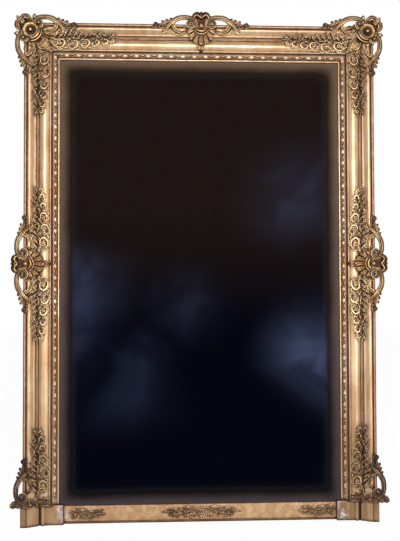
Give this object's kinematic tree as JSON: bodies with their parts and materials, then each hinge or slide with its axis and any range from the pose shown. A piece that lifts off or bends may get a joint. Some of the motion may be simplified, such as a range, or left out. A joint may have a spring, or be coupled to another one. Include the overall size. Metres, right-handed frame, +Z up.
{
  "type": "overmantel mirror",
  "caption": "Tall rectangular overmantel mirror in a gilded moulded frame with rocaille corners, crest, side scrolls and plinth blocks, leaning on a mantelshelf",
  "frame": {"origin": "middle of the bottom rail's underside, on the shelf, 24 mm in front of the wall plane", "axes": "+Z up along the frame's height, +X to the right as seen from the front, front faces -Y"},
  "size_m": [1.2734, 0.1204, 1.7299],
  "materials": {
    "carcass_pine": "bare aged softwood",
    "oak_keys": "bare oak",
    "pine_blocks": "bare softwood",
    "backboard_pine": "bare aged boards",
    "steel_screws": "blackened steel",
    "brass_fittings": "aged brass",
    "mirror_plate": "polished, slightly foxed",
    "moulding_gilding": "gilded gesso on softwood, worn to red bole on the edges",
    "sight_gilding": "gilded gesso on softwood, matt in the hollows",
    "frieze_gilding": "gilded gesso on softwood, worn to gesso near the ends",
    "ornament_gilding": "gilded cast composition over gesso"
  },
  "bodies": {
    "frame": {"left_stile": "carcass_pine", "right_stile": "carcass_pine", "top_rail": "carcass_pine", "bottom_rail": "carcass_pine", "corner_keys": "oak_keys", "left_outer_moulding": "moulding_gilding", "right_outer_moulding": "moulding_gilding", "top_outer_moulding": "moulding_gilding", "left_inner_moulding": "moulding_gilding", "right_inner_moulding": "moulding_gilding", "top_inner_moulding": "moulding_gilding", "left_sight_moulding": "sight_gilding", "right_sight_moulding": "sight_gilding", "top_sight_moulding": "sight_gilding", "bottom_frieze": "frieze_gilding", "left_plinth_block": "frieze_gilding", "right_plinth_block": "frieze_gilding", "mirror_plate": "mirror_plate", "glazing_blocks": "pine_blocks", "bottom_backboard": "backboard_pine", "middle_backboard": "backboard_pine", "top_backboard": "backboard_pine", "backboard_screws": "steel_screws", "left_corner_cartouche": "ornament_gilding", "left_corner_top_scroll": "ornament_gilding", "left_corner_side_scroll": "ornament_gilding", "right_corner_cartouche": "ornament_gilding", "right_corner_top_scroll": "ornament_gilding", "right_corner_side_scroll": "ornament_gilding", "crest_cartouche": "ornament_gilding", "crest_left_scroll": "ornament_gilding", "crest_right_scroll": "ornament_gilding", "left_side_cartouche": "ornament_gilding", "left_upper_scroll": "ornament_gilding", "left_lower_scroll": "ornament_gilding", "right_side_cartouche": "ornament_gilding", "right_upper_scroll": "ornament_gilding", "right_lower_scroll": "ornament_gilding", "left_foot_leaf": "ornament_gilding", "left_foot_scroll": "ornament_gilding", "right_foot_leaf": "ornament_gilding", "right_foot_scroll": "ornament_gilding", "left_corner_top_spray": "ornament_gilding", "left_corner_side_spray": "ornament_gilding", "right_corner_top_spray": "ornament_gilding", "right_corner_side_spray": "ornament_gilding", "left_upper_spray": "ornament_gilding", "left_lower_spray": "ornament_gilding", "right_upper_spray": "ornament_gilding", "right_lower_spray": "ornament_gilding", "left_foot_spray": "ornament_gilding", "right_foot_spray": "ornament_gilding", "frieze_rosette": "ornament_gilding", "left_frieze_sprig": "ornament_gilding", "right_frieze_sprig": "ornament_gilding", "left_hanger_strap": "brass_fittings", "right_hanger_strap": "brass_fittings", "hanger_screws": "steel_screws"},
    "left_ring": {"left_hanger_ring": "brass_fittings"},
    "right_ring": {"right_hanger_ring": "brass_fittings"}
  },
  "joints": [
    {"name": "left_ring_swing", "type": "hinge", "parent": "frame", "child": "left_ring", "pos_m": [-0.549, 0.0285, 1.36], "axis": [1, 0, 0], "range_deg": [0, 180]},
    {"name": "right_ring_swing", "type": "hinge", "parent": "frame", "child": "right_ring", "pos_m": [0.549, 0.0285, 1.36], "axis": [1, 0, 0], "range_deg": [0, 180]}
  ]
}
